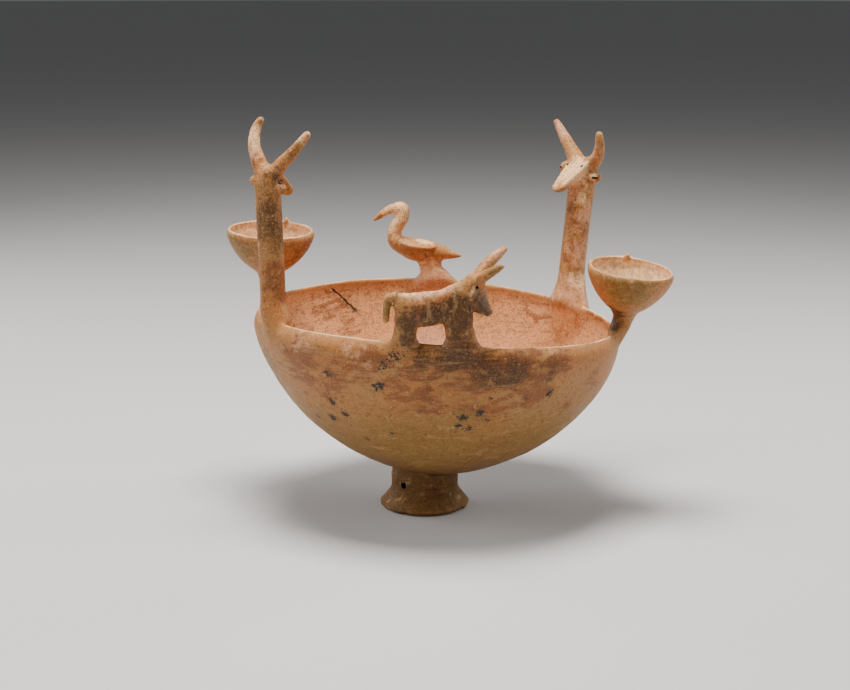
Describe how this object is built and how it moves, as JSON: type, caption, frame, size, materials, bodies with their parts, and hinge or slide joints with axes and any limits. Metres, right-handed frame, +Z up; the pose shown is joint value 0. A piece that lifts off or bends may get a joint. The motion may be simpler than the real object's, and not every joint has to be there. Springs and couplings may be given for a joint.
{
  "type": "bowl with figures",
  "caption": "Deep round hand-built bowl of red polished ware on a small hollow foot, with cups, horned heads, a bird and a beast standing on its rim.",
  "frame": {"origin": "the point on the surface it stands on, under the middle of its bounding box", "axes": "+Z up, -Y towards the horned beast on the front of the rim, +X towards the right cup"},
  "size_m": [0.4053, 0.3556, 0.3643],
  "materials": {
    "fired_clay": "burnished red slip, worn and mottled from tan to dark brown, low sheen"
  },
  "bodies": {
    "root": {"bowl_with_figures": "fired_clay"}
  },
  "joints": []
}
